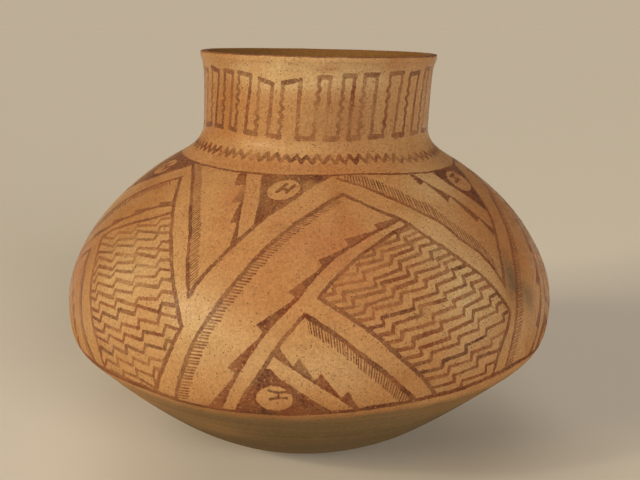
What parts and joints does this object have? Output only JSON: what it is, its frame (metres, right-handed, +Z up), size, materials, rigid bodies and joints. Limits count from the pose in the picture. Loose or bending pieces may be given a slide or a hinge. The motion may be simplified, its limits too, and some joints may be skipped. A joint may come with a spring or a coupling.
{
  "type": "olla",
  "caption": "Wide painted earthenware water jar with a low sharp shoulder, a short leaning neck and a flared lip, built from a moulded base and luted coils.",
  "frame": {"origin": "on the surface that the jar rests on, under the centre of its widest circle", "axes": "+Z up through the mouth, +X to the right of the picture, -Y towards the camera"},
  "size_m": [0.3402, 0.34, 0.2706],
  "materials": {
    "bare_clay": "matte fired clay, smoothed by hand",
    "painted_slip": "matte buff slip with red-brown brushwork"
  },
  "bodies": {
    "root": {"moulded_base": "bare_clay", "lower_wall_coil_1": "bare_clay", "lower_wall_coil_2": "bare_clay", "lower_wall_coil_3": "bare_clay", "shoulder_coil": "painted_slip", "upper_wall_coil_1": "painted_slip", "upper_wall_coil_2": "painted_slip", "upper_wall_coil_3": "painted_slip", "upper_wall_coil_4": "painted_slip", "upper_wall_coil_5": "painted_slip", "neck_foot_coil": "painted_slip", "neck_coil_1": "painted_slip", "neck_coil_2": "painted_slip", "rim_coil": "painted_slip"}
  },
  "joints": []
}
